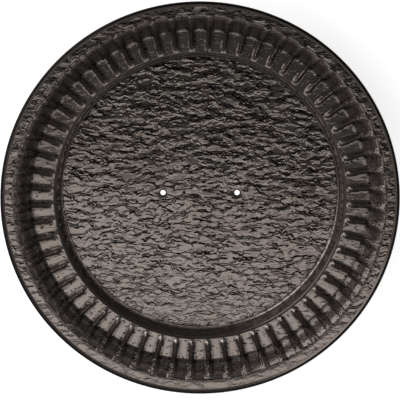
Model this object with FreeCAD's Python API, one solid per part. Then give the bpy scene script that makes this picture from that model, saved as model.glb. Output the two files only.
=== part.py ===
"""A round fluted dish: one sheet steel pressing with a wired edge.

The pan is pressed from one disc.  A flat floor with two small fixing holes meets a steep
plain step.  A ring of flutes, wide channels between narrow ribs, climbs from the top of the
step to a flat flange, and the edge of the flange is rolled around a steel wire.

The origin is at the middle of the floor's underside.  +Z points up, out of the dish, and the
two holes lie on the X axis.  All sizes are in millimetres and all angles in degrees.
"""
import FreeCAD, Part
import math
import os

from FreeCAD import Vector

# Overall sizes
rim_diameter = 406.4
step_height = 22.0
flute_rise = 18.0

# Sheet and wire
sheet_thickness = 0.9
wire_diameter = 2.6
wire_clearance = 0.05
wire_end_gap = 1.0

# Rolled edge
flange_width = 7.5
crease_radius = 0.8
curl_opening = 45.0

# Ring of flutes
flute_count = 60
flute_length = 40.6
rib_width = 7.2
rib_height = 4.2
channel_foot = 20.5
rib_shoulder = 6.5
rib_fade = 28.0

# Plain step between the floor and the flutes
land_width = 0.6
step_slope = 80.0
step_head_radius = 2.5
step_foot_radius = 2.0

# Fixing holes in the floor
hole_spacing = 76.2
hole_diameter = 5.5
hole_roll_over = 0.35

# How finely a flute is drawn
spans_up_a_rib = 4
spans_along_flute = 20
nose_crowding = 1.2

AXIS = Vector(0, 0, 1)
CENTRE = Vector(0, 0, 0)
SEWING_TOLERANCE = 0.001

# Rolled edge, from the wire outwards
wire_radius = wire_diameter / 2
curl_inner = wire_radius + wire_clearance
curl_outer = curl_inner + sheet_thickness
curl_radius = rim_diameter / 2 - curl_outer

# Heights of the upper face of the sheet
floor_level = sheet_thickness
land_level = floor_level + step_height
flange_level = land_level + flute_rise
wire_level = flange_level - sheet_thickness / 2

# The crease is an arc that touches both the flange and the roll
crease_level = flange_level + crease_radius
crease_drop = crease_level - wire_level
crease_centre_radius = curl_radius - math.sqrt((curl_outer + crease_radius) ** 2 - crease_drop ** 2)

# Radii of the rings, from the rim inwards
flute_outer = crease_centre_radius - flange_width
flute_inner = flute_outer - flute_length
step_head = flute_inner - land_width
bend_share = math.tan(math.radians(step_slope / 2))
step_run = step_height / math.tan(math.radians(step_slope))
floor_radius = step_head - (step_head_radius + step_foot_radius) * bend_share - step_run


def eased(value, start, end):
    """Climb from 0 at start to 1 at end, level at both."""
    share = min(max((value - start) / (end - start), 0.0), 1.0)
    return (1 - math.cos(math.pi * share)) / 2


def channel_height(reach):
    """Height of a channel above the land, at a distance from the inner end of the flutes."""
    return flute_rise * eased(reach, channel_foot, flute_length)


def channel_slope(reach):
    """Angle between the bottom of a channel and the level, in radians."""
    climb_length = flute_length - channel_foot
    share = min(max((reach - channel_foot) / climb_length, 0.0), 1.0)
    return math.atan(flute_rise / climb_length * math.pi / 2 * math.sin(math.pi * share))


def rib_swell(reach):
    """How far a rib's crest stands above the channels beside it."""
    rise = eased(reach, 0, rib_shoulder)
    fade = 1 - eased(reach, rib_fade, flute_length)
    return rib_height * rise * fade


def flute_point(reach, from_rib, side, drop):
    """Point on a flute, a distance from the crest of the rib on one side, drop below the face."""
    radius = flute_inner + reach
    turn = side * (math.pi / flute_count - from_rib / radius)
    swell = rib_swell(reach) * (1 - eased(from_rib, 0, rib_width / 2))
    slope = channel_slope(reach)
    radius += drop * math.sin(slope)
    height = land_level + channel_height(reach) + swell - drop * math.cos(slope)
    return Vector(radius * math.cos(turn), radius * math.sin(turn), height)


def flute_face(drop):
    """One pitch of the flutes, from the crest of one rib to the crest of the next.

    The rows of points stand closer together near the inner end, where the ribs rise in a nose.
    """
    rib_side = [rib_width / 2 * span / spans_up_a_rib for span in range(spans_up_a_rib + 1)]
    rows = []
    for along in range(spans_along_flute + 1):
        reach = flute_length * (along / spans_along_flute) ** nose_crowding
        middle = (flute_inner + reach) * math.pi / flute_count
        first_side = [flute_point(reach, from_rib, -1, drop) for from_rib in rib_side]
        channel = [flute_point(reach, middle, 1, drop)]
        last_side = [flute_point(reach, from_rib, 1, drop) for from_rib in reversed(rib_side)]
        rows.append(first_side + channel + last_side)
    surface = Part.BSplineSurface()
    surface.interpolate(rows)
    return surface.toShape()


def flute_ring(drop):
    """All the flutes, one face turned around the axis."""
    first = flute_face(drop)
    faces = []
    for index in range(flute_count):
        face = first.copy()
        face.rotate(CENTRE, AXIS, 360 * index / flute_count)
        faces.append(face)
    return faces


def inner_end(face):
    """The edge of a flute that lies nearest the middle of the dish."""
    return min(face.Edges, key=lambda edge: math.hypot(edge.CenterOfMass.x, edge.CenterOfMass.y))


def outer_end(face):
    """The edge of a flute that lies nearest the rim."""
    return max(face.Edges, key=lambda edge: math.hypot(edge.CenterOfMass.x, edge.CenterOfMass.y))


def outline(edges):
    """One closed wire of edges that follow each other around the axis."""
    return Part.Wire(edges)


def circle(radius, level):
    return Part.Wire([Part.makeCircle(radius, Vector(0, 0, level), AXIS)])


def flat_ring(outer, inner):
    """A flat face between an outer outline and an inner one."""
    return Part.makeFace([outer, inner], "Part::FaceMakerBullseye")


def on_arc(centre, radius, angle):
    """Point of an upright section, radius along X, at an angle round an arc's centre."""
    turn = math.radians(angle)
    return Vector(centre.x + radius * math.cos(turn), 0, centre.z + radius * math.sin(turn))


def section_arc(centre, radius, start, end):
    middle = (start + end) / 2
    return Part.Arc(on_arc(centre, radius, start), on_arc(centre, radius, middle),
                    on_arc(centre, radius, end)).toShape()


def spun(edges):
    """Faces that section lines sweep out around the axis."""
    return [edge.revolve(CENTRE, AXIS, 360) for edge in edges]


def step_section(drop):
    """The bend, the slope and the bend between the floor and the land."""
    foot = Vector(floor_radius, 0, floor_level + step_foot_radius)
    head = Vector(step_head, 0, land_level - step_head_radius)
    foot_bend = step_foot_radius + drop
    head_bend = step_head_radius - drop
    foot_arc = section_arc(foot, foot_bend, -90, step_slope - 90)
    head_arc = section_arc(head, head_bend, 90 + step_slope, 90)
    slope = Part.makeLine(foot_arc.Curve.value(foot_arc.LastParameter),
                          head_arc.Curve.value(head_arc.FirstParameter))
    return [foot_arc, slope, head_arc]


def roll_section():
    """The crease, the roll around the wire, its cut edge and the way back along its inside."""
    crease = Vector(crease_centre_radius, 0, crease_level)
    wire = Vector(curl_radius, 0, wire_level)
    meeting = math.degrees(math.asin(crease_drop / (curl_outer + crease_radius)))
    roll_start = 180 - meeting
    roll_end = curl_opening - 180
    outside = section_arc(wire, curl_outer, roll_start, roll_end)
    inside = section_arc(wire, curl_inner, roll_start, roll_end)
    cut_edge = Part.makeLine(on_arc(wire, curl_outer, roll_end), on_arc(wire, curl_inner, roll_end))
    upper_crease = section_arc(crease, crease_radius, -90, -meeting)
    lower_crease = section_arc(crease, crease_radius + sheet_thickness, -90, -meeting)
    return [upper_crease, outside, cut_edge, inside, lower_crease]


def floor_plate():
    """The flat floor as a closed disc with its two holes, each rounded at its upper edge."""
    plate = Part.makeCylinder(floor_radius, sheet_thickness)
    for side in (-1, 1):
        place = Vector(side * hole_spacing / 2, 0, 0)
        plate = plate.cut(Part.makeCylinder(hole_diameter / 2, sheet_thickness, place))
    rims = [edge for edge in plate.Edges
            if abs(edge.Length - math.pi * hole_diameter) < SEWING_TOLERANCE
            and abs(edge.CenterOfMass.z - floor_level) < SEWING_TOLERANCE]
    return plate.makeFillet(hole_roll_over, rims)


def floor_faces():
    """The faces of the floor plate, without the wall where it runs on into the step."""
    plate = floor_plate()
    return [face for face in plate.Faces
            if not (face.Surface.TypeId == "Part::GeomCylinder"
                    and abs(face.Surface.Radius - floor_radius) < SEWING_TOLERANCE)]


def dish_pan():
    """The pressing, sewn from its upper face, its underside and its rolled edge."""
    faces = floor_faces()
    for drop in (0, sheet_thickness):
        flutes = flute_ring(drop)
        land = flat_ring(outline([inner_end(flute) for flute in flutes]),
                         circle(step_head, land_level - drop))
        flange = flat_ring(circle(crease_centre_radius, flange_level - drop),
                           outline([outer_end(flute) for flute in flutes]))
        faces += spun(step_section(drop)) + [land] + flutes + [flange]
    faces += spun(roll_section())
    skin = Part.makeCompound(faces)
    skin.sewShape(SEWING_TOLERANCE)
    pan = Part.Solid(skin.Shells[0])
    if pan.Volume < 0:
        pan.reverse()
    return pan


def rim_wire():
    """The wire ring inside the rolled edge, cut once, with its ends a little apart."""
    gap_angle = math.degrees(wire_end_gap / curl_radius)
    middle = Vector(curl_radius, 0, wire_level)
    section = Part.Face(Part.Wire([Part.makeCircle(wire_radius, middle, Vector(0, 1, 0))]))
    ring = section.revolve(CENTRE, AXIS, 360 - gap_angle)
    ring.rotate(CENTRE, AXIS, 90 + gap_angle / 2)
    return ring


def main():
    os.makedirs("parts", exist_ok=True)
    nodes = {"dish_pan": dish_pan(), "rim_wire": rim_wire()}
    for name, shape in nodes.items():
        shape.exportStep(f"parts/{name}.step")
        state = "valid" if shape.isValid() else "not valid"
        print(f"{name}: {state}, {len(shape.Solids)} solid, {shape.Volume:.0f} mm3")


main()
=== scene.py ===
# %% [markdown]
# # A fluted metal dish
#
# This lesson dresses a round pressed dish: a flat floor with two holes, a plain step, a ring of
# sixty flutes, a flat flange and a rolled edge, all under one hammered coat. The frame holds the
# true solids, and everything here is placed from it. Lengths are in metres.

# %% Load the frame
import math

import bpy
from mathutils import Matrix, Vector, noise


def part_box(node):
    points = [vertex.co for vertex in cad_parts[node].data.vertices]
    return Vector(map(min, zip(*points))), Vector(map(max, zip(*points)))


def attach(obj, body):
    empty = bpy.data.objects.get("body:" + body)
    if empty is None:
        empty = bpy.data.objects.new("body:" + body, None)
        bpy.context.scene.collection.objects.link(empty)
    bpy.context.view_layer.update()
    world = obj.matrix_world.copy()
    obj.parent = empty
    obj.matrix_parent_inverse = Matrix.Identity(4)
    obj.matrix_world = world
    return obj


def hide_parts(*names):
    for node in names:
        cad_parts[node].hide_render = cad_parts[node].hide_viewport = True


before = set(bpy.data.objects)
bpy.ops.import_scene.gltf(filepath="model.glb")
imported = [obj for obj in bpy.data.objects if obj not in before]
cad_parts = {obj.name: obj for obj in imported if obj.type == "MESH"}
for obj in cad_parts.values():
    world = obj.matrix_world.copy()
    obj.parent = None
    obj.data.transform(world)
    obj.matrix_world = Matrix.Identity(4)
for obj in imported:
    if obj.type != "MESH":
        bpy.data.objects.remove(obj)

for name in ("Cube", "Light", "Camera"):
    if name in bpy.data.objects:
        bpy.data.objects.remove(bpy.data.objects[name])
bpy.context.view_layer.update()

# %% [markdown]
# ## Sizes
#
# The rim's radius and the height of the rolled edge are read from the frame. The other sizes are
# the ones a press tool would be cut to: each ring is worked out from the one outside it, so the
# whole section follows the rim.

# %% Sizes of the sheet and the rolled edge
MM = 0.001
pan_low, pan_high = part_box("dish_pan")
rim_radius = pan_high.x
sheet = 0.9 * MM
wire_clearance = 0.05 * MM
wire_low, wire_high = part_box("rim_wire")
wire_radius = (wire_high.z - wire_low.z) / 2
wire_level = (wire_high.z + wire_low.z) / 2
curl_inner = wire_radius + wire_clearance
curl_outer = curl_inner + sheet
curl_radius = rim_radius - curl_outer
curl_opening = math.radians(45)
crease_radius = 0.8 * MM
weld_distance = 0.02 * MM
print("roll", round(curl_outer / MM, 3), "mm at radius", round(curl_radius / MM, 2), "mm")

# %% Heights and radii of the rings
flange_level = wire_level + sheet / 2
flute_rise = 18 * MM
land_level = flange_level - flute_rise
floor_level = pan_low.z + sheet
crease_drop = flange_level + crease_radius - wire_level
crease_reach = curl_outer + crease_radius
crease_turn = math.asin(crease_drop / crease_reach)
crease_ring = curl_radius - math.sqrt(crease_reach ** 2 - crease_drop ** 2)
flange_width = 7.5 * MM
flute_length = 40.6 * MM
land_width = 0.6 * MM
step_slope = math.radians(80)
step_head_bend = 2.5 * MM
step_foot_bend = 2.0 * MM
flute_outer = crease_ring - flange_width
flute_inner = flute_outer - flute_length
step_head = flute_inner - land_width
bend_run = (step_head_bend + step_foot_bend) * math.tan(step_slope / 2)
step_run = (land_level - floor_level) / math.tan(step_slope)
floor_radius = step_head - bend_run - step_run
print("floor", round(floor_radius / MM, 2), "mm")
print("flutes", round(flute_inner / MM, 2), "to", round(flute_outer / MM, 2), "mm")

# %% Sizes of one flute
flute_count = 60
rib_width = 7.2 * MM
rib_height = 4.2 * MM
channel_foot = 20.5 * MM
rib_shoulder = 6.5 * MM
rib_fade = 28.0 * MM
pitch = 2 * math.pi / flute_count
print("pitch", round(math.degrees(pitch), 2), "degrees")

# %% [markdown]
# ## Small helpers
#
# Blender's operators act on whatever is selected, so each step starts from a known selection.
# These helpers keep that short. Selection is by place, which survives any change in how many
# points a shape has.

# %% Selecting and editing
def pick(*objects):
    """Select only these objects, the first of them active."""
    bpy.ops.object.select_all(action="DESELECT")
    for piece in objects:
        piece.select_set(True)
    bpy.context.view_layer.objects.active = objects[0]


def edit_points(piece, wanted):
    """Open a piece for editing with only the points selected that pass the test."""
    pick(piece)
    bpy.ops.object.mode_set(mode="EDIT")
    bpy.ops.mesh.select_mode(type="VERT")
    bpy.ops.mesh.select_all(action="DESELECT")
    bpy.ops.object.mode_set(mode="OBJECT")
    for point in piece.data.vertices:
        point.select = wanted(point.co)
    bpy.ops.object.mode_set(mode="EDIT")


def leave_edit():
    bpy.ops.object.mode_set(mode="OBJECT")


def weld(piece, distance):
    """Join points that lie on each other."""
    edit_points(piece, lambda place: True)
    bpy.ops.mesh.remove_doubles(threshold=distance)
    leave_edit()


def apply_all(piece):
    pick(piece)
    for modifier in list(piece.modifiers):
        bpy.ops.object.modifier_apply(modifier=modifier.name)


def triangles(piece):
    return sum(len(face.vertices) - 2 for face in piece.data.polygons)


# %% [markdown]
# ## The section of the wall
#
# A spun or pressed dish is easiest to draw as half a section. One point is extruded from place to
# place: up the step, along the bottom of a channel, over the flange and round the roll, then back
# along the underside. A loop gives each bend its arc, so the bends stay truly round.

# %% Points of the section
def eased(value, start, end):
    """Climb from 0 at start to 1 at end, level at both."""
    share = min(max((value - start) / (end - start), 0.0), 1.0)
    return (1 - math.cos(math.pi * share)) / 2


def arc(centre, radius, start, end, steps):
    """Points along an arc of the section, as (radius, height) pairs."""
    turns = [start + (end - start) * step / steps for step in range(steps + 1)]
    return [(centre[0] + radius * math.cos(turn), centre[1] + radius * math.sin(turn))
            for turn in turns]


def channel_line(drop, steps):
    """The bottom of a channel from the land to the flange, drop below the upper face."""
    points = []
    climb_length = flute_length - channel_foot
    for step in range(steps + 1):
        reach = flute_length * step / steps
        lean = math.pi * (reach - channel_foot) / climb_length
        climb = flute_rise * math.pi / climb_length / 2 * math.sin(max(lean, 0))
        slope = math.atan(climb)
        points.append((flute_inner + reach + drop * math.sin(slope),
                       land_level + flute_rise * eased(reach, channel_foot, flute_length)
                       - drop * math.cos(slope)))
    return points


def face_line(drop, bend_steps, flute_steps):
    """One face of the sheet, from the edge of the floor to the crease beside the roll."""
    foot = (floor_radius, floor_level + step_foot_bend)
    head = (step_head, land_level - step_head_bend)
    crease = (crease_ring, flange_level + crease_radius)
    quarter = math.pi / 2
    line = arc(foot, step_foot_bend + drop, -quarter, step_slope - quarter, bend_steps)
    line += arc(head, step_head_bend - drop, quarter + step_slope, quarter, bend_steps)
    line += channel_line(drop, flute_steps)
    line += arc(crease, crease_radius + drop, -quarter, -crease_turn, bend_steps)
    return line


def section_line():
    """The whole section, from the floor's upper edge round the roll to its lower edge."""
    middle = (curl_radius, wire_level)
    roll_start, roll_end = math.pi - crease_turn, curl_opening - math.pi
    upper = face_line(drop=0, bend_steps=3, flute_steps=22)
    outside = arc(middle, curl_outer, roll_start, roll_end, steps=12)[1:]
    inside = arc(middle, curl_inner, roll_end, roll_start, steps=6)[:-1]
    under = face_line(drop=sheet, bend_steps=2, flute_steps=13)[::-1]
    return upper + outside + inside + under


section = section_line()
print("section of", len(section), "points")

# %% Draw the section and turn it through one flute
def draw_line(name, points):
    """A line of edges in the XZ plane, extruded from one point to the next."""
    start = Vector((points[0][0], 0, points[0][1]))
    bpy.ops.object.select_all(action="DESELECT")
    bpy.ops.mesh.primitive_plane_add(size=1 * MM, location=(0, 0, 0))
    piece = bpy.context.object
    piece.name = piece.data.name = name
    bpy.ops.object.mode_set(mode="EDIT")
    bpy.ops.mesh.select_mode(type="VERT")
    bpy.ops.mesh.merge(type="CENTER")
    bpy.ops.transform.translate(value=start)
    last = start
    for radius, height in points[1:]:
        place = Vector((radius, 0, height))
        bpy.ops.mesh.extrude_region_move(TRANSFORM_OT_translate={"value": place - last})
        last = place
    leave_edit()
    return piece


steps_per_flute = 12
wall = draw_line("dish_pan_coated", section)
edit_points(wall, lambda place: True)
bpy.ops.mesh.spin(steps=steps_per_flute, angle=pitch, center=(0, 0, 0), axis=(0, 0, 1))
leave_edit()
print("one flute has", len(wall.data.vertices), "points")

# %% [markdown]
# ## Raising the rib
#
# So far every line round the wall is a plain circle. The press pushes a narrow rib up between each
# two channels. Its crest runs along the middle of this one sector. Both faces of the sheet are
# moved up together, so the steel keeps its thickness as it does in the press.

# %% Raise one rib
def rib_swell(reach):
    """How far a rib's crest stands above the channels beside it."""
    fade = 1 - eased(reach, rib_fade, flute_length)
    return rib_height * eased(reach, 0, rib_shoulder) * fade


spin_way = -1 if min(point.co.y for point in wall.data.vertices) < -MM else 1
crest_turn = spin_way * pitch / 2
for point in wall.data.vertices:
    radius = math.hypot(point.co.x, point.co.y)
    reach = radius - flute_inner
    if 0 < reach < flute_length:
        turn = math.atan2(point.co.y, point.co.x)
        from_rib = radius * abs(turn - crest_turn)
        point.co.z += rib_swell(reach) * (1 - eased(from_rib, 0, rib_width / 2))
print("crest at", round(math.degrees(crest_turn), 2), "degrees")

# %% [markdown]
# ## Sixty flutes
#
# The finished sector is copied round the axis, and the copies are joined and welded. An Array
# modifier could do it too, but turned copies are exact and leave nothing live on the mesh.

# %% Copy the flute round the dish
sectors = [wall]
for index in range(1, flute_count):
    copy = wall.copy()
    copy.data = wall.data.copy()
    bpy.context.collection.objects.link(copy)
    copy.rotation_euler.z = index * pitch
    sectors.append(copy)
pick(*sectors)
bpy.ops.object.transform_apply(location=False, rotation=True, scale=False)
bpy.ops.object.join()
weld(wall, weld_distance)
print("wall", len(wall.data.vertices), "points,", triangles(wall), "triangles")

# %% [markdown]
# ## The floor
#
# The floor carries the boldest grain, so it needs an even net of small squares, and a fan of
# triangles would pinch in the middle. A square grid is added and its squares are drawn out to a
# circle: rings of the grid become rings of the disc, and its edge has as many points as the wall.

# %% A square grid drawn out to a disc
def to_disc(place, half):
    """Where a point of a square grid goes on a disc of the same half width."""
    x, y = place.x, place.y
    ring = max(abs(x), abs(y))
    if ring < 1e-9:
        return Vector((0, 0, place.z))
    if abs(x) >= abs(y):
        turn = y / x * math.pi / 4 + (math.pi if x < 0 else 0)
    else:
        turn = math.pi / 2 - x / y * math.pi / 4 + (math.pi if y < 0 else 0)
    return Vector((ring * math.cos(turn), ring * math.sin(turn), place.z))


def add_disc(name, squares, level):
    """A disc as wide as the floor, made of that many squares along each side."""
    bpy.ops.object.select_all(action="DESELECT")
    bpy.ops.mesh.primitive_grid_add(x_subdivisions=squares, y_subdivisions=squares,
                                    size=2 * floor_radius, location=(0, 0, level))
    disc = bpy.context.object
    disc.name = disc.data.name = name
    pick(disc)
    bpy.ops.object.transform_apply(location=True, rotation=False, scale=False)
    for point in disc.data.vertices:
        point.co = to_disc(point.co, floor_radius)
    return disc


edge_points = flute_count * steps_per_flute
floor_disc = add_disc("floor_disc", edge_points // 4, floor_level)
print("floor", triangles(floor_disc), "triangles")

# %% [markdown]
# ## Punched holes
#
# A punch draws the steel down a little as it goes through, and rounds the upper edge it leaves.
# Each hole sits in a shallow dimple, so the floor is moved down round it before the cut.

# %% Dimples round the holes
hole_places = [Vector((side * 38.1 * MM, 0, 0)) for side in (-1, 1)]
hole_radius = 2.75 * MM
roll_over = 0.35 * MM
dimple_depth = 0.3 * MM
dimple_width = 5.5 * MM


def from_hole(place):
    """Distance to the middle of the nearer hole."""
    return min(math.hypot(place.x - hole.x, place.y - hole.y) for hole in hole_places)


for point in floor_disc.data.vertices:
    point.co.z -= dimple_depth * math.exp(-((from_hole(point.co) / dimple_width) ** 2))
print("dimples", [round(hole.x / MM, 1) for hole in hole_places], "mm from the middle")

# %% [markdown]
# ## A coat with body
#
# Hammered paint pulls itself into low domes as it dries. The broad rise and fall is moved into the
# floor and the flange here, so that it shows in outline and in raking light. The fine creases
# between the domes are left to the material, where they can be sharper than any net of squares.

# %% Lift the broad domes
dome_height = 0.16 * MM
dome_spacing = 9 * MM
fine_height, fine_spacing = 0.6, 0.55
flange_share = 0.5
edge_fade = 5 * MM
hole_fade = (3 * MM, 9 * MM)


def dome_lift(place):
    """Height of the broad domes of the coat at a place seen from above."""
    broad = noise.noise(Vector((place.x, place.y, 0)) / dome_spacing)
    other_layer = Vector((place.x, place.y, 7 * dome_spacing))
    fine = noise.noise(other_layer / (dome_spacing * fine_spacing))
    return dome_height * (broad + fine_height * fine)


for point in floor_disc.data.vertices:
    radius = math.hypot(point.co.x, point.co.y)
    inside_edge = 1 - eased(radius, floor_radius - edge_fade, floor_radius)
    share = inside_edge * eased(from_hole(point.co), *hole_fade)
    point.co.z += share * dome_lift(point.co)
for point in wall.data.vertices:
    radius = math.hypot(point.co.x, point.co.y)
    on_flange = abs(radius - (flute_outer + crease_ring) / 2) < flange_width / 2
    if on_flange and point.co.z > flange_level - sheet / 2:
        point.co.z += flange_share * dome_lift(point.co)
print("domes lifted up to", round(dome_height / MM, 2), "mm")

# %% [markdown]
# ## One pan
#
# The disc and the wall meet in a ring of equal points, so they weld into one sheet, and the ring
# left open underneath is filled with one flat face. The holes are cut last, through both faces at
# once, so their edges stay clean under the domes.

# %% Join the floor, close the underside and weld the pan
pick(wall, floor_disc)
bpy.ops.object.join()
weld(wall, weld_distance)
edit_points(wall, lambda place: abs(place.z - pan_low.z) < 0.01 * MM
            and abs(math.hypot(place.x, place.y) - floor_radius) < 0.05 * MM)
bpy.ops.mesh.select_mode(type="EDGE")
bpy.ops.mesh.edge_face_add()
bpy.ops.mesh.select_all(action="SELECT")
bpy.ops.mesh.normals_make_consistent(inside=False)
leave_edit()
print("pan", triangles(wall), "triangles")

# %% Punch the holes
def add_punch(place):
    """A turned punch: straight through the sheet, then flared where the upper edge is rounded."""
    flare_radius = hole_radius + roll_over
    flare_centre = (flare_radius, floor_level - dimple_depth - roll_over)
    flare = arc(flare_centre, roll_over, math.pi, math.pi / 2, steps=4)
    outline = [(0, -sheet), (hole_radius, -sheet)] + flare
    outline += [(flare_radius, 3 * sheet), (0, 3 * sheet)]
    punch = draw_line("punch", outline)
    edit_points(punch, lambda spot: True)
    bpy.ops.mesh.spin(steps=40, angle=2 * math.pi, center=(0, 0, 0), axis=(0, 0, 1))
    bpy.ops.mesh.select_all(action="SELECT")
    bpy.ops.mesh.remove_doubles(threshold=0.001 * MM)
    bpy.ops.mesh.normals_make_consistent(inside=False)
    leave_edit()
    punch.location = place
    return punch


for place in hole_places:
    punch = add_punch(place)
    cut = wall.modifiers.new("hole", "BOOLEAN")
    cut.operation = "DIFFERENCE"
    cut.solver = "EXACT"
    cut.object = punch
    apply_all(wall)
    bpy.data.objects.remove(punch)
pick(wall)
bpy.ops.object.shade_smooth_by_angle(angle=math.radians(40))
print("punched pan", triangles(wall), "triangles")

# %% [markdown]
# ## Writing a finish as sums
#
# A material is a set of sums on places and patterns. Wrapping a socket in a small class lets those
# sums be written as Python: adding two wrapped sockets adds a Math node. Every node comes from one
# method, which makes its settings before it fills its sockets. Colours are mixed in a Mix node and
# vectors in a Vector Math node, because a Math node would turn them grey.

# %% A socket that does maths
def plug(socket, value):
    """Link a field to a socket, or write a plain value on it."""
    if isinstance(value, Field):
        socket.id_data.links.new(value.socket, socket)
    else:
        socket.default_value = value


class Field:
    """One value that varies over a surface."""

    def __init__(self, tree, socket):
        self.tree = tree
        self.socket = socket

    def _sum(self, operation, *others):
        return self.tree.node("Math", 0, {"operation": operation}, dict(enumerate((self, *others))))

    def __add__(self, other):
        return self._sum("ADD", other)

    def __sub__(self, other):
        return self._sum("SUBTRACT", other)

    def __rsub__(self, other):
        return (self * -1) + other

    def __mul__(self, other):
        return self._sum("MULTIPLY", other)

    def __pow__(self, other):
        return self._sum("POWER", other)

    def distance_to(self, value):
        return (self - value)._sum("ABSOLUTE")

    def smallest(self, other):
        return self._sum("MINIMUM", other)

    def largest(self, other):
        return self._sum("MAXIMUM", other)

    def turn_from(self, other):
        """The angle whose two sides are these, in radians."""
        return self._sum("ARCTAN2", other)

    def remainder(self):
        """What is left above the whole number below."""
        return self._sum("FRACT")

    def band(self, low, high):
        """Climb smoothly from 0 at low to 1 at high, or fall where high is the smaller."""
        ends = (low, high, 0, 1) if low < high else (high, low, 1, 0)
        names = ("From Min", "From Max", "To Min", "To Max")
        return self.tree.node("MapRange", "Result", {"interpolation_type": "SMOOTHSTEP"},
                              {"Value": self, **dict(zip(names, ends))})

    __radd__ = __add__
    __rmul__ = __mul__


# %% One method for every node
class Tree:
    """The nodes of a material or of the world."""

    def __init__(self, nodes):
        self.nodes = nodes

    def node(self, kind, output, settings=None, sockets=None):
        """Add a node, make its settings first, then fill its sockets, and give one output."""
        made = self.nodes.new("ShaderNode" + kind)
        for name, value in (settings or {}).items():
            setattr(made, name, value)
        for name, value in (sockets or {}).items():
            plug(made.inputs[name], value)
        return Field(self, made.outputs[output])

    def split(self, vector):
        """The three parts of a vector."""
        first = self.node("SeparateXYZ", "X", {}, {0: vector})
        return [Field(self, first.socket.node.outputs[name]) for name in "XYZ"]

    def mix(self, share, first, second):
        """A colour between two colours."""
        return self.node("Mix", 2, {"data_type": "RGBA"}, {0: share, 6: first, 7: second})

    def noise(self, vector, scale, detail):
        """A soft cloudy value, about a half on average."""
        return self.node("TexNoise", "Fac", {"noise_dimensions": "3D"},
                         {"Vector": vector, "Scale": scale, "Detail": detail})


class Finish(Tree):
    """A new material, with its shader and the nodes that feed it."""

    def __init__(self, name):
        self.material = bpy.data.materials.new(name)
        self.material.use_nodes = True
        super().__init__(self.material.node_tree.nodes)

    def set(self, **values):
        for name, value in values.items():
            plug(self.nodes["Principled BSDF"].inputs[name.replace("_", " ")], value)

    def dress(self, piece):
        piece.data.materials.clear()
        piece.data.materials.append(self.material)


# %% [markdown]
# ## The hammered coat
#
# Hammer paint is a dark varnish with fine metal leaf in it. It dries into small flat plates with
# sharp creases between them, drawn out a little along X. On level steel the plates are bold, on the
# bends and the steep step the paint ran smooth, and on the flutes it left a fine pitting. Faces
# that do not face up are coloured a darker brown as painted shade.
# Masks say where each kind of surface lies: most are rings measured from the axis, and some also
# ask how far a place is from the crest of its rib, as a share of the pitch.

# %% Rings and ribs
coat = Finish("hammered_coat")
dish_place = coat.node("TexCoord", "Object")
across, along = coat.split(dish_place)[:2]
from_axis = (across * across + along * along) ** 0.5
rib_end_start = flute_inner + 22 * MM
channel_end_start = flute_inner + channel_foot


def ring(inner_start, inner_full, outer_full, outer_end):
    """Climb to 1 between the first two radii, and fall to 0 between the last two."""
    return from_axis.band(inner_start, inner_full) * from_axis.band(outer_end, outer_full)


soft_edge = 1.6 * MM
inside_floor = from_axis.band(floor_radius + 0.2 * MM, floor_radius - soft_edge)
on_flange = ring(flute_outer - 0.6 * MM, flute_outer + soft_edge,
                 crease_ring - 0.4 * MM, crease_ring + 0.6 * MM)
fluted = ring(flute_inner - 0.8 * MM, flute_inner + 0.3 * MM,
              flute_outer - soft_edge, flute_outer)
from_crest = (along.turn_from(across) * (1 / pitch)).remainder().distance_to(0.5)
on_rib = from_crest.band(0.28, 0.15)
rib_end = on_rib * ring(rib_end_start, rib_end_start + 5 * MM,
                        flute_outer - 2 * MM, flute_outer + 1 * MM)
print("rings from", round(floor_radius / MM, 1), "to", round(curl_radius / MM, 1), "mm")

# %% [markdown]
# A ring of painted shade darkens the edge of each hole, where the dimple falls away. On the floor
# the plates fade out before they reach it.

# %% Holes, and where the plates are bold
left_gap, right_gap = [((across - hole.x) * (across - hole.x) + along * along) ** 0.5
                       for hole in hole_places]
hole_gap = left_gap.smallest(right_gap)
# Painted shade: a dark ring round the edge of each hole.
hole_rim_shade = hole_gap.band(4.4 * MM, 3.5 * MM)
on_floor = inside_floor * hole_gap.band(3.2 * MM, 8 * MM)
bold = on_floor + on_flange
print("coat is bold inside", round(floor_radius / MM, 1), "mm and on the flange")

# %% [markdown]
# Painted shade darkens the places where the steel turns: the narrow land, the foot of each
# channel's climb, the bend into the flange, the flanks of the ribs and all round the rolled edge.
# On the near side, the side towards -Y under the broad lamp, painted highlights brighten the rib
# noses and the bend at the edge of the floor. On the far side that bend gets painted shade instead.

# %% Painted highlights and painted shade at the bends
near_side = along.band(30 * MM, -50 * MM)
rib_nose = on_rib * ring(flute_inner + 0.6 * MM, flute_inner + 1.4 * MM,
                         flute_inner + 3.5 * MM, flute_inner + 4.5 * MM)
floor_bend = ring(floor_radius - 0.4 * MM, floor_radius,
                  floor_radius + 1.6 * MM, floor_radius + 2.2 * MM)
# Painted highlight on the rib noses and the bend at the floor's edge, on the near side only.
painted_highlight = (rib_nose + floor_bend).smallest(1.0) * near_side
land_ring = ring(step_head - 2 * MM, step_head - 1 * MM,
                 flute_inner - 0.5 * MM, flute_inner + 0.5 * MM)
channel_end = ring(channel_end_start, channel_end_start + 1.5 * MM,
                   channel_end_start + 3.5 * MM, channel_end_start + 5.5 * MM)
flange_bend = ring(flute_outer - 3.5 * MM, flute_outer - 2 * MM,
                   flute_outer - 0.4 * MM, flute_outer + 0.8 * MM)
flank = from_crest.band(0.36, 0.28) * from_crest.band(0.10, 0.18) * ring(
    flute_inner, flute_inner + 2 * MM, flute_outer - 9 * MM, flute_outer - 6 * MM)
rolled = from_axis.band(curl_radius - 1.6 * MM, curl_radius - 0.2 * MM)
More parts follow.
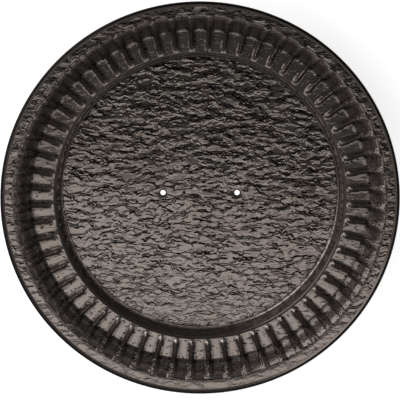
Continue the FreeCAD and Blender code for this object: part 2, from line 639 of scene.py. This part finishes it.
# Painted shade: how far each bend, the rib flanks and the roll are darkened.
bend_shade_depths = ((0.7, land_ring), (0.45, channel_end), (0.45, flange_bend), (0.4, flank),
               (0.6, floor_bend * (1 - near_side)), (1.0, rolled))
bend_shade = sum(depth * mask for depth, mask in bend_shade_depths)
print("paint pools in", len(bend_shade_depths), "kinds of place")

# %% [markdown]
# ## Plates and creases
#
# A slow noise cut into terraces makes the plates. Painted shade darkens a crease only along the
# side of each plate that faces +Y, away from the broad lamp. To find that side, the same noise is
# read again a little way towards +Y and a little way towards -Y, and the two are compared.

# %% Terraces of a slow noise
def stretched(size, offset, step=0.0):
    """The place on the object, in units of a grain that is wider along X than along Y."""
    return coat.node("Mapping", "Vector", {"vector_type": "POINT"},
                     {"Vector": dish_place,
                      "Scale": (1 / (grain_length * size), 1 / size, 1 / size),
                      "Location": (offset, step - offset, offset)})


def wandering(vector, amount):
    """Push a place about by a slow noise."""
    push = coat.node("TexNoise", "Color", {"noise_dimensions": "3D"},
                     {"Vector": vector, "Scale": 0.9, "Detail": 2.0, "Roughness": 0.55})
    centred = coat.node("VectorMath", 0, {"operation": "SUBTRACT"}, {0: push, 1: (0.5, 0.5, 0.5)})
    return coat.node("VectorMath", 0, {"operation": "MULTIPLY_ADD"},
                     {0: centred, 1: (amount, amount, amount), 2: vector})


def swirl(offset, wander, scale, detail):
    """A slow noise, given as a function that reads it some way along Y."""
    def read(step):
        return coat.noise(wandering(stretched(grain, offset, step), wander), scale, detail)
    return read


def terraces(read, levels, ramp, reach):
    """Cut a smooth field into flat steps, and paint shade along the creases on the side that faces
    +Y.
    """
    field = read(0.0)
    shaded_side = (read(-reach) - read(reach)).band(*shaded_side_range)
    steps, shade_lines = 0, 0
    for level in levels:
        foot = level - 0.3 * ramp
        steps = steps + field.band(level - ramp, level + ramp)
        shade_lines = shade_lines + field.distance_to(foot).band(1.5 * ramp, 0.6 * ramp)
    return steps, shade_lines.smallest(1.0) * shaded_side


grain = 7.0 * MM
grain_length = 1.9
shaded_side_range = (-0.005, 0.03)
pit_spacing = 2.6 * MM
# The second result of each call is painted shade along the creases that face +Y.
big_steps, big_crease_shade = terraces(swirl(offset=9.1, wander=0.45, scale=0.80, detail=1.2),
                                levels=(0.40, 0.50, 0.60), ramp=0.026, reach=0.12)
small_steps, small_crease_shade = terraces(swirl(offset=5.7, wander=0.35, scale=1.25, detail=1.0),
                                    levels=(0.47, 0.58), ramp=0.036, reach=0.10)
pits = coat.noise(stretched(pit_spacing, 2.2), 1.0, 2.0)
pit = pits.band(0.44, 0.32)
print("grain", round(grain / MM, 1), "mm, pits", round(pit_spacing / MM, 1), "mm")

# %% [markdown]
# The relief is counted in plates, and the bump node turns one plate into a height. The shade is
# painted shade: how far a place is darkened towards the darkest brown. Towards the near edge, under
# the broad lamp, the creases get less of it.

# %% Relief and painted shade
plate_height = 0.24 * MM
small_plates, small_crease_shade_share, pit_shade_share = 0.6, 0.85, 0.8
flange_plates, flute_plates, flute_pits, rib_end_pits = 0.32, 0.25, 0.5, 6.0
plates = big_steps + small_plates * small_steps
relief = (on_floor + flange_plates * on_flange) * plates
relief = relief + fluted * (flute_plates * big_steps - flute_pits * pit)
relief = relief + rib_end * (rib_end_pits * pits)
# Painted shade in the creases fades out towards -Y, the side under the broad lamp.
crease_shade_fade = 1.25 - 0.85 * along.band(-20 * MM, -200 * MM)
# Painted shade also darkens the pits on the flutes.
shade = bold * crease_shade_fade * (big_crease_shade + small_crease_shade_share * small_crease_shade) + fluted * pit * pit_shade_share
shade = (shade + hole_rim_shade + bend_shade).smallest(1.0)
print("plates", round(plate_height / MM, 2), "mm high")

# %% Colours of the coat
# The darkest brown is the colour that painted shade darkens towards.
painted_shade_brown = (0.010, 0.008, 0.007, 1)
bronze = (0.255, 0.222, 0.200, 1)
warm = (0.235, 0.198, 0.174, 1)
# Painted shade: faces that do not face up, and the bends, step, land and roll, take this darker
# brown.
steep_shade_brown = (0.165, 0.138, 0.124, 1)
highlight_leaf_tint = (0.40, 0.36, 0.33, 1)
tone = coat.noise(dish_place, 14.0, 2.0)
facing_up = coat.split(coat.node("NewGeometry", "Normal"))[2].band(0.80, 0.96)
# Painted shade by facing: only open faces that face up keep the lighter bronze.
upward_lit_face = facing_up * (bold + fluted).smallest(1.0)
body = coat.mix(upward_lit_face, steep_shade_brown, coat.mix(tone.band(0.35, 0.65), bronze, warm))
# Painted highlight: in the highlight spots, flecks turn to a pale leaf tone.
body = coat.mix(painted_highlight * pits.band(0.36, 0.54), body, highlight_leaf_tint)
coat.set(Base_Color=coat.mix(shade, body, painted_shade_brown), Metallic=0.82, IOR=1.5,
         Roughness=0.17 + 0.2 * shade)
coat.set(Normal=coat.node("Bump", "Normal", {},
                          {"Strength": 1.0, "Distance": plate_height, "Height": relief}))
coat.dress(wall)
print("coat has", len(coat.nodes), "nodes")

# %% [markdown]
# ## The wire
#
# The wire hides in the roll, and only its underside shows through the narrow slot. It is bright
# drawn steel with a cloudy zinc skin.

# %% Finish of the wire
zinc = Finish("drawn_zinc_wire")
cloud = zinc.noise(zinc.node("TexCoord", "Object"), 300.0, 4.0)
light_zinc = (0.62, 0.62, 0.63, 1)
dull_zinc = (0.42, 0.42, 0.43, 1)
zinc.set(Base_Color=zinc.mix(cloud.band(0.3, 0.7), dull_zinc, light_zinc), Metallic=1.0,
         Roughness=0.32 + 0.2 * cloud)
zinc.set(Normal=zinc.node("Bump", "Normal", {},
                          {"Strength": 0.3, "Distance": 0.05 * MM, "Height": cloud}))
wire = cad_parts["rim_wire"]
zinc.dress(wire)
print("wire", wire.name)

# %% [markdown]
# ## Floor, lamps and camera
#
# A pale sheet carries the dish, under a sky that is bright at the horizon and dark overhead. One
# broad soft lamp hangs over the near side, so level steel brightens towards that side, and a low
# one at the far left catches the steep ends of the flutes. The camera looks almost straight down,
# leaning a little from the far side.

# %% The pale floor
ground = Finish("pale_ground")
camera_ray = ground.node("LightPath", "Is Camera Ray")
glossy_ray, clear_ray = [Field(ground, camera_ray.socket.node.outputs[name])
                         for name in ("Is Glossy Ray", "Is Transmission Ray")]
seen = camera_ray.largest(glossy_ray).largest(clear_ray)
speck = ground.noise(ground.node("TexCoord", "Object"), 40.0, 3.0)
unlit, pale, paler, glow = [(grey, grey, grey, 1) for grey in (0, 0.80, 0.83, 0.78)]
ground.set(Base_Color=ground.mix(speck, pale, paler), Roughness=0.8,
           Emission_Color=ground.mix(seen, unlit, glow), Emission_Strength=1.0)
ground_size = 8.0
ground_gap = 0.02 * MM
bpy.ops.object.select_all(action="DESELECT")
bpy.ops.mesh.primitive_circle_add(vertices=96, radius=ground_size / 2, fill_type="NGON",
                                  location=(0, 0, pan_low.z - ground_gap))
floor_sheet = bpy.context.object
floor_sheet.name = "pale_ground"
ground.dress(floor_sheet)
print("ground", ground_size, "m across")

# %% World
world = bpy.data.worlds.new("studio")
bpy.context.scene.world = world
world.use_nodes = True
sky = Tree(world.node_tree.nodes)
climb = sky.split(sky.node("TexCoord", "Generated"))[2]
horizon, low_sky, overhead = [(grey, grey, grey, 1) for grey in (0.95, 0.17, 0.045)]
low_tint = sky.mix(climb.band(0.02, 0.09), horizon, low_sky)
tint = sky.mix(climb.band(0.35, 0.85), low_tint, overhead)
plug(sky.nodes["Background"].inputs["Color"], tint)
plug(sky.nodes["Background"].inputs["Strength"], 1.0)
print("world has", len(sky.nodes), "nodes")

# %% Lamps
white_watts_per_square_metre = 4


def add_lamp(name, place, aim, size, strength, turn=0):
    """A soft rectangular lamp. Strength is how bright its face looks, where 1 is white."""
    bpy.ops.object.light_add(type="AREA", location=place)
    lamp = bpy.context.object
    lamp.name = lamp.data.name = name
    lamp.data.shape = "RECTANGLE"
    lamp.data.size, lamp.data.size_y = size
    lamp.data.energy = strength * white_watts_per_square_metre * size[0] * size[1]
    lamp.rotation_euler = (Vector(aim) - Vector(place)).to_track_quat("-Z", "Y").to_euler()
    lamp.rotation_euler.rotate_axis("Z", turn)


add_lamp("broad_lamp", place=(0.0, -0.335, 0.62), aim=(0, -0.335, 0), size=(1.3, 0.42),
         strength=0.97, turn=math.radians(-12))
add_lamp("left_lamp", place=(-0.62, 0.40, 0.45), aim=(0.13, -0.08, 0.03), size=(0.8, 0.8),
         strength=1.5)

# %% Camera
camera_tilt = math.radians(11)
camera_distance = 3.0
edge_room = 1.0007
view_half = rim_radius * edge_room
bpy.ops.object.camera_add()
camera = bpy.context.object
camera.name = "camera"
aim = Vector((0, 0, wire_level))
camera.location = aim + camera_distance * Vector((0, math.sin(camera_tilt), math.cos(camera_tilt)))
camera.rotation_euler = (-camera_tilt, 0, 0)
camera.data.sensor_width = 36
camera.data.lens = camera.data.sensor_width / 2 * camera_distance / view_half
camera.data.clip_end = 20
bpy.context.scene.camera = camera
bpy.context.scene.view_settings.view_transform = "Standard"
print("lens", round(camera.data.lens, 1), "mm")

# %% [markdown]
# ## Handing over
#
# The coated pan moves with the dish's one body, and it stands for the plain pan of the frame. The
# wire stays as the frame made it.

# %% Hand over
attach(wall, "root")
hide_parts("dish_pan")
